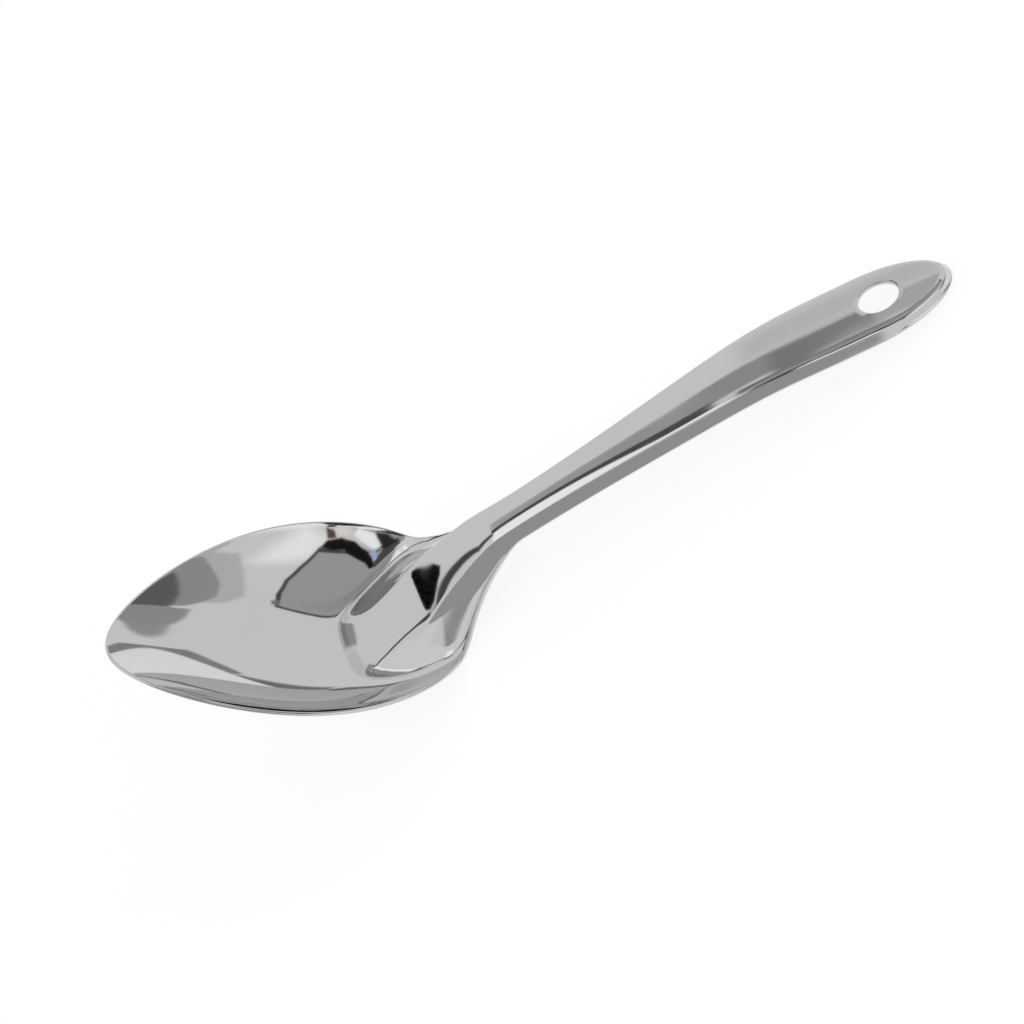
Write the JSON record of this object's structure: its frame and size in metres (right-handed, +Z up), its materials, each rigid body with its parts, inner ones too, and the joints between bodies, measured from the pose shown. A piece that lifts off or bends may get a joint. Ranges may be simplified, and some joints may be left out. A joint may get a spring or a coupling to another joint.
{
  "type": "basting spoon",
  "caption": "Basting and serving spoon pressed from one polished steel sheet, with a pointed oval bowl and a crowned channel handle with a hang hole.",
  "frame": {"origin": "middle of the footprint on the floor, with the spoon lying on the bowl's back and the handle's end", "axes": "+X along the spoon from the bowl's tip to the handle's end, +Y across it, +Z up"},
  "size_m": [0.2438, 0.074, 0.0529],
  "materials": {
    "polished_steel": "mirror-polished stainless steel, uncoated"
  },
  "bodies": {
    "root": {"pressed_spoon": "polished_steel"}
  },
  "joints": []
}
